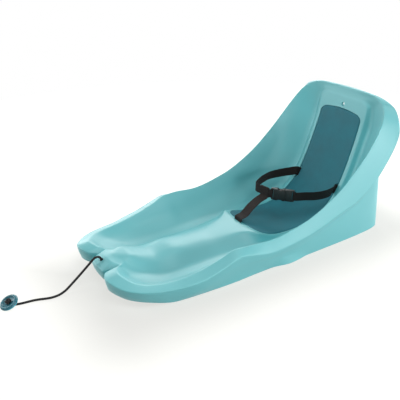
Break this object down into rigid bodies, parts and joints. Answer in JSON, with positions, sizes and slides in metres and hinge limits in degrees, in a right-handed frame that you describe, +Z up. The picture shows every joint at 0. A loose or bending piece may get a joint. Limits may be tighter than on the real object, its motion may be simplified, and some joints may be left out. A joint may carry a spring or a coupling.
{
  "type": "baby pull sled",
  "caption": "Moulded pull sled with a padded bucket seat, leg troughs, a backrest, a waist belt with a release buckle, a crotch strap and a pull cord.",
  "frame": {"origin": "on the floor below the middle of the shell", "axes": "+X to the sitter's left, +Y from the nose to the backrest, +Z up"},
  "size_m": [0.383, 1.0136, 0.3583],
  "materials": {
    "shell": "satin",
    "pad": "matt felted foam",
    "webbing": "woven",
    "buckle": "satin",
    "rod": "drawn",
    "cord": "braided",
    "handle": "satin"
  },
  "bodies": {
    "sled": {"shell": "shell", "seat_pad": "pad", "waist_strap_left": "webbing", "waist_strap_right": "webbing", "crotch_strap": "webbing", "strap_rod_left": "rod", "strap_rod_right": "rod", "strap_rod_crotch": "rod", "buckle_socket": "buckle", "buckle_plug": "buckle", "pull_cord": "cord", "cord_knot_nose": "cord", "cord_knot_handle": "cord", "pull_handle": "handle"},
    "latch_upper": {"buckle_latch_upper": "buckle"},
    "latch_lower": {"buckle_latch_lower": "buckle"}
  },
  "joints": [
    {"name": "latch_upper_press", "type": "hinge", "parent": "sled", "child": "latch_upper", "pos_m": [0.03147, 0.16104, 0.10464], "axis": [0.6428, -0.766, 0], "range_deg": [0, 12], "stiffness_Nm_per_rad": 0.05},
    {"name": "latch_lower_press", "type": "hinge", "parent": "sled", "child": "latch_lower", "pos_m": [0.03147, 0.16104, 0.08564], "axis": [-0.6428, 0.766, 0], "range_deg": [0, 12], "stiffness_Nm_per_rad": 0.05}
  ],
  "couplings": [
    {"joint": "latch_lower_press", "follows": "latch_upper_press", "ratio": 1}
  ]
}
